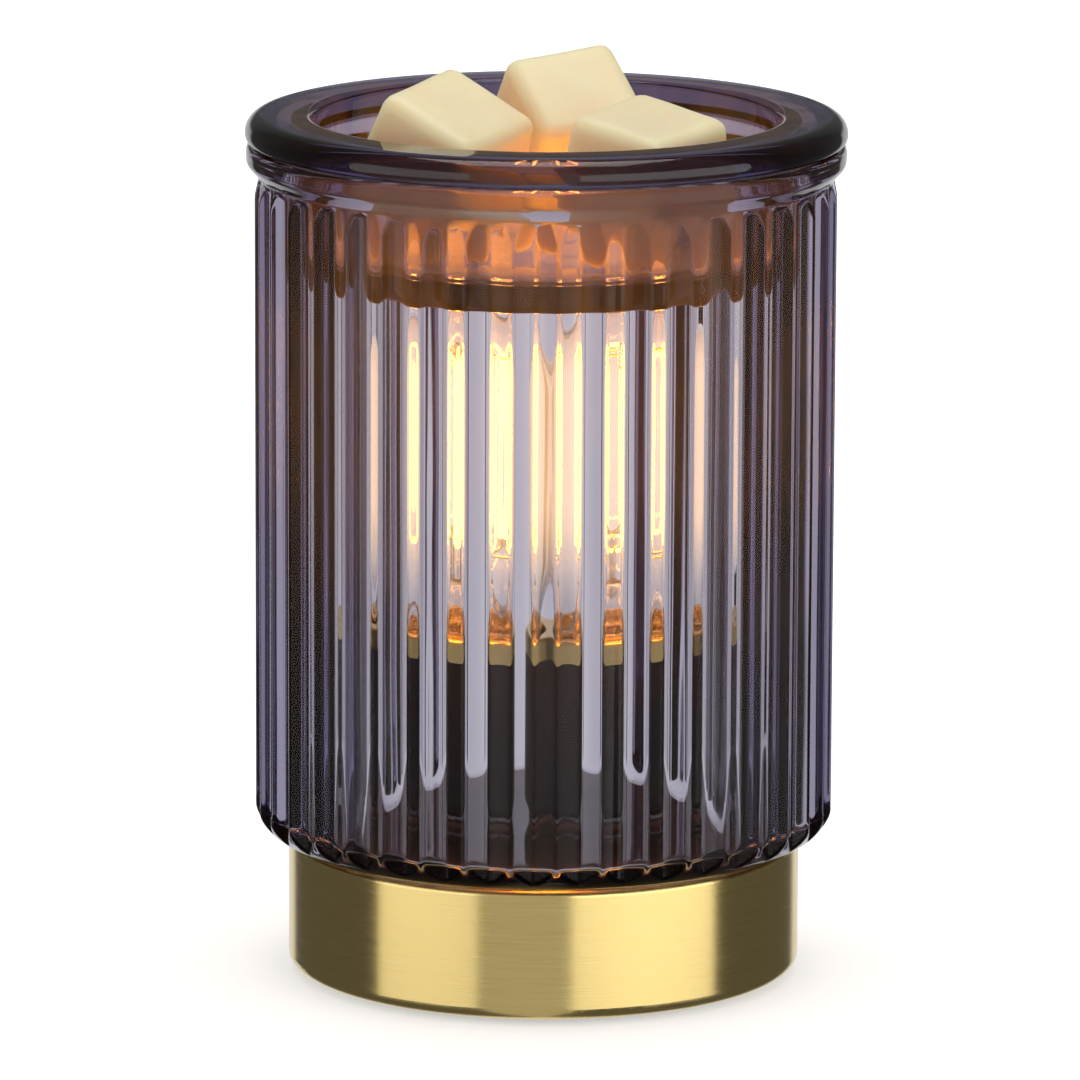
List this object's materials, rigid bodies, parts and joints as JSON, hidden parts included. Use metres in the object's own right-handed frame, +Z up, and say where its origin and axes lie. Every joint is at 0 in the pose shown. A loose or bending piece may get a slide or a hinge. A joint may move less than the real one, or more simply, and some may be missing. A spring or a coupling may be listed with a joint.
{
  "type": "wax melt warmer",
  "caption": "Electric wax melt warmer: ribbed smoke-glass shade on a brushed brass base, a screw-in filament bulb inside and a lift-off glass dish of wax melts on top.",
  "frame": {"origin": "centre of the foot circle, on the table", "axes": "+Z up along the axis of the shade, +Y to the rear where the cord enters, -Y to the front"},
  "size_m": [0.11, 0.11, 0.1685],
  "materials": {
    "brushed_brass": "brushed round the cup, satin",
    "black_plate": "moulded, matt",
    "rubber": "matt",
    "steel": "zinc plated",
    "lead_black": "insulation",
    "lead_white": "insulation",
    "nylon": "moulded",
    "smoke_glass": "pressed, smoke tint, polished",
    "dish_glass": "pressed, smoke tint, polished",
    "holder_black": "moulded, satin",
    "collar_brass": "polished",
    "porcelain": "unglazed",
    "contact_brass": "bright",
    "solder": "bright",
    "black_glass": "glossy",
    "clear_glass": "clear, polished",
    "stem_glass": "clear, polished",
    "filament_wire": "glowing",
    "support_wire": "bright",
    "wax": "smooth, waxy"
  },
  "bodies": {
    "base": {"base_shell": "brushed_brass", "bottom_plate": "black_plate", "rubber_feet": "rubber", "screw_posts": "steel", "bottom_screws": "steel", "cord_grommet": "rubber", "threaded_tube": "steel", "tube_nut": "steel", "lock_washer": "steel", "live_lead": "lead_black", "neutral_lead": "lead_white", "crimp_caps": "nylon", "base_gasket": "rubber", "glass_shade": "smoke_glass", "floor_pad": "rubber", "clamp_washer": "steel", "holder_cap": "holder_black", "holder_shell": "holder_black", "holder_collar": "collar_brass", "contact_block": "porcelain", "screw_shell": "contact_brass", "centre_contact": "contact_brass"},
    "bulb_tip": {"bulb_contact": "solder"},
    "bulb": {"cap_insulator": "black_glass", "bulb_cap": "contact_brass", "bulb_envelope": "clear_glass", "bulb_stem": "stem_glass", "filament": "filament_wire", "filament_hooks": "support_wire", "lead_in_wires": "support_wire"},
    "dish": {"wax_dish": "dish_glass"},
    "left_melt": {"melt_left": "wax"},
    "right_melt": {"melt_right": "wax"},
    "back_melt": {"melt_back": "wax"}
  },
  "joints": [
    {"name": "dish_lift", "type": "slide", "parent": "base", "child": "dish", "axis": [0, 0, 1], "range_m": [0, 0.045]},
    {"name": "melt_left_lift", "type": "slide", "parent": "dish", "child": "left_melt", "axis": [0, 0, 1], "range_m": [0, 0.04]},
    {"name": "melt_right_lift", "type": "slide", "parent": "dish", "child": "right_melt", "axis": [0, 0, 1], "range_m": [0, 0.04]},
    {"name": "melt_back_lift", "type": "slide", "parent": "dish", "child": "back_melt", "axis": [0, 0, 1], "range_m": [0, 0.04]},
    {"name": "bulb_rise", "type": "slide", "parent": "base", "child": "bulb_tip", "axis": [0, 0, 1], "range_m": [0, 0.0055]},
    {"name": "bulb_turn", "type": "hinge", "parent": "bulb_tip", "child": "bulb", "pos_m": [0, 0, 0.0414], "axis": [0, 0, 1], "range_deg": [0, 540]}
  ],
  "couplings": [
    {"joint": "bulb_rise", "follows": "bulb_turn", "m_per_rad": 0.00057753}
  ]
}
